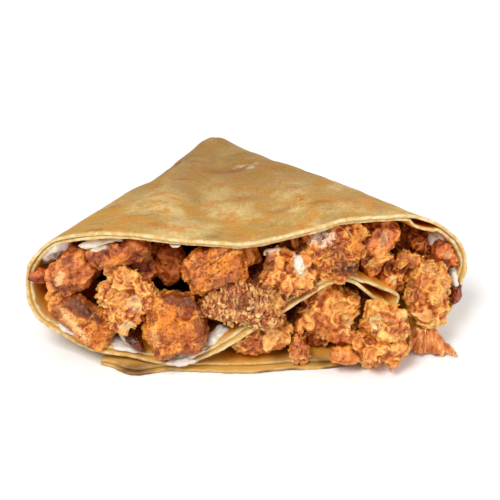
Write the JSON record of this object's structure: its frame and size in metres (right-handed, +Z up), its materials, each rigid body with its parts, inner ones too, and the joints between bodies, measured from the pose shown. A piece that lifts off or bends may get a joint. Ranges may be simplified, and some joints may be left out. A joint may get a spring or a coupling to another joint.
{
  "type": "crispy crepe",
  "caption": "Thin crepe folded in half and rolled into a flat cone, lying down, its open mouth packed with pieces of fried and grilled chicken and white sauce.",
  "frame": {"origin": "On the table, under the middle of the cone's outline, on the flat face that it rests on.", "axes": "+Z is up from the table, +Y points to the closed tip of the cone, -Y is the open mouth with the filling, and +X is to the right of a person who looks into the mouth."},
  "size_m": [0.1903, 0.2056, 0.0663],
  "materials": {
    "crepe": "dry baked batter, pale gold with brown patches",
    "core": "moist, in deep shade",
    "crusty": "rough fried crumb",
    "grilled": "seared, slightly greasy",
    "flaky": "flaky fried batter",
    "sauce": "wet and glossy",
    "burnt": "sticky dark glaze"
  },
  "bodies": {
    "root": {"crepe": "crepe", "packed_filling": "core", "crusty_front_left": "crusty", "crusty_centre": "crusty", "grilled_low_centre": "grilled", "grilled_low_left": "grilled", "crusty_left": "crusty", "grilled_top_centre": "grilled", "crusty_right_centre": "crusty", "charred_right": "crusty", "flaky_far_right": "flaky", "crusty_low_right": "flaky", "flaky_low_front": "flaky", "batter_fan": "flaky", "flaky_mid_right": "flaky", "flaky_low_centre": "flaky", "flaky_lobe_centre": "flaky", "crusty_top_left": "crusty", "smooth_top_right": "flaky", "crusty_upper_right": "crusty", "round_far_right": "crusty", "smooth_low_front": "flaky", "nub_low_front": "flaky", "flaky_low_bit": "flaky", "crumb_low_centre": "flaky", "grilled_top_inner": "grilled", "grilled_left_back": "grilled", "crusty_mid_back": "crusty", "crusty_small_right": "crusty", "glazed_far_right": "burnt", "nub_far_left": "crusty", "crusty_top_bit": "crusty", "crusty_centre_back": "crusty", "back_low_right": "flaky", "back_centre": "crusty", "back_mid_right": "crusty", "back_top_right": "flaky", "grilled_left_bit": "grilled", "burnt_bit": "burnt", "sauce_left": "sauce", "sauce_top_left": "sauce", "sauce_low_centre": "sauce", "sauce_foot": "sauce", "sauce_right_centre": "sauce", "sauce_top_centre": "sauce", "sauce_drip": "sauce", "sauce_top_right": "sauce", "sauce_low_right": "sauce", "sauce_low_left": "sauce", "sauce_floor": "sauce"}
  },
  "joints": []
}
